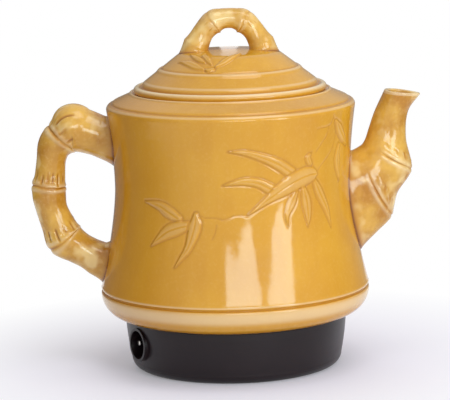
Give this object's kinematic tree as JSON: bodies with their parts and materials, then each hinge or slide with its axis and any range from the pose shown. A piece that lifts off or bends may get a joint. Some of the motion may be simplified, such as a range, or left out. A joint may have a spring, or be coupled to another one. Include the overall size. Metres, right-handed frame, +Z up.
{
  "type": "electric herbal medicine pot",
  "caption": "Electric stoneware pot for decocting herbs, with a bamboo-shaped handle and spout, a lift-off lid with a loop, and a dark heated base with a plug inlet.",
  "frame": {"origin": "on the pot's axis, in the plane that it stands on", "axes": "+X towards the spout, +Y to the back as pictured, +Z up along the pot's axis; the handle is at -X"},
  "size_m": [0.3039, 0.2096, 0.279],
  "materials": {
    "amber_glaze": "glossy amber glaze on stoneware, with incised bamboo",
    "spout_glaze": "glossy amber glaze, paler on the cane's nodes",
    "handle_glaze": "glossy amber glaze, paler on the cane's nodes",
    "lid_glaze": "glossy amber glaze on stoneware",
    "loop_glaze": "glossy amber glaze, paler on the cane's nodes",
    "relief_glaze": "glossy amber glaze over applied leaves",
    "seal_rubber": "matt black silicone",
    "base_plastic": "satin dark brown, almost black",
    "cover_plastic": "matt black",
    "screw_steel": "zinc-plated",
    "contact_metal": "bright nickel plate",
    "insulator": "matt cream, moulded",
    "heater_refractory": "rough cast heating plate",
    "heater_alloy": "dull resistance wire",
    "insulation_wool": "compressed mineral wool",
    "shield_steel": "plain sheet",
    "wire_brown": "brown insulation",
    "wire_blue": "blue insulation"
  },
  "bodies": {
    "pot": {"pot_body": "amber_glaze", "spout": "spout_glaze", "handle": "handle_glaze", "seal_ring": "seal_rubber", "base_housing": "base_plastic", "bottom_cover": "cover_plastic", "cover_screws": "screw_steel", "inlet_block": "insulator", "inlet_pins": "contact_metal", "heater_plate": "heater_refractory", "heater_coil": "heater_alloy", "heater_terminals": "contact_metal", "insulation_pad": "insulation_wool", "heat_shield": "shield_steel", "shield_screws": "screw_steel", "thermostat": "insulator", "thermostat_screws": "screw_steel", "thermal_fuse": "insulator", "live_wire": "wire_brown", "link_wire": "wire_brown", "heater_wire": "wire_brown", "neutral_wire": "wire_blue"},
    "lid": {"lid": "lid_glaze", "lid_loop": "loop_glaze", "lid_leaves": "relief_glaze"}
  },
  "joints": [
    {"name": "lid_lift", "type": "slide", "parent": "pot", "child": "lid", "axis": [0, 0, 1], "range_m": [0, 0.08]}
  ]
}
